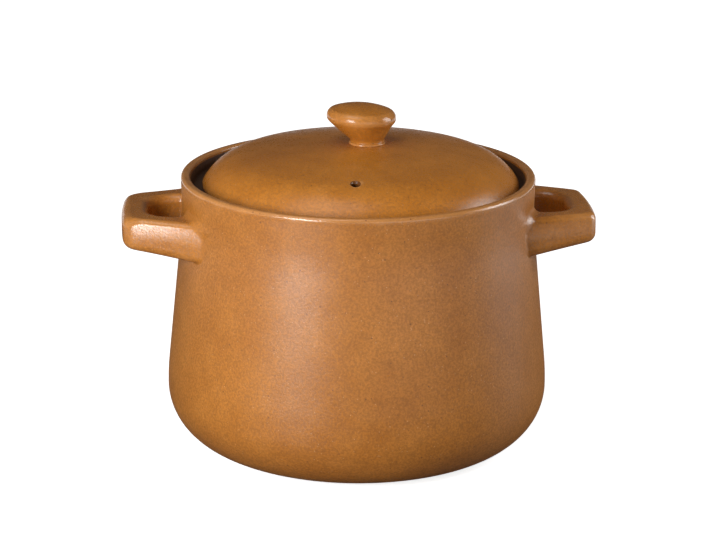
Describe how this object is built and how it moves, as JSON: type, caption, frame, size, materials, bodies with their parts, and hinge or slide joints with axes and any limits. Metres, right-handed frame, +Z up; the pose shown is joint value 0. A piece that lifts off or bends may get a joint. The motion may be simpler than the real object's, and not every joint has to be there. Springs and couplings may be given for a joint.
{
  "type": "lidded clay casserole pot",
  "caption": "Round clay sand pot with a swelling belly, ear handles with finger gaps, and a loose domed lid with a knob and steam vent, seated in a gallery inside the rim.",
  "frame": {"origin": "middle of the foot, on the surface that the pot stands on", "axes": "+Z up, handles along +X and -X, the front is -Y"},
  "size_m": [0.2668, 0.2178, 0.1944],
  "materials": {
    "pot_clay": "orange-brown fired clay, satin outside, glossier glaze inside",
    "lid_clay": "orange-brown fired clay, satin"
  },
  "bodies": {
    "pot": {"pot_body": "pot_clay", "handle_right": "pot_clay", "handle_left": "pot_clay"},
    "lid": {"lid": "lid_clay", "lid_knob": "lid_clay"}
  },
  "joints": [
    {"name": "lid_lift", "type": "slide", "parent": "pot", "child": "lid", "axis": [0, 0, 1], "range_m": [0, 0.1]}
  ]
}
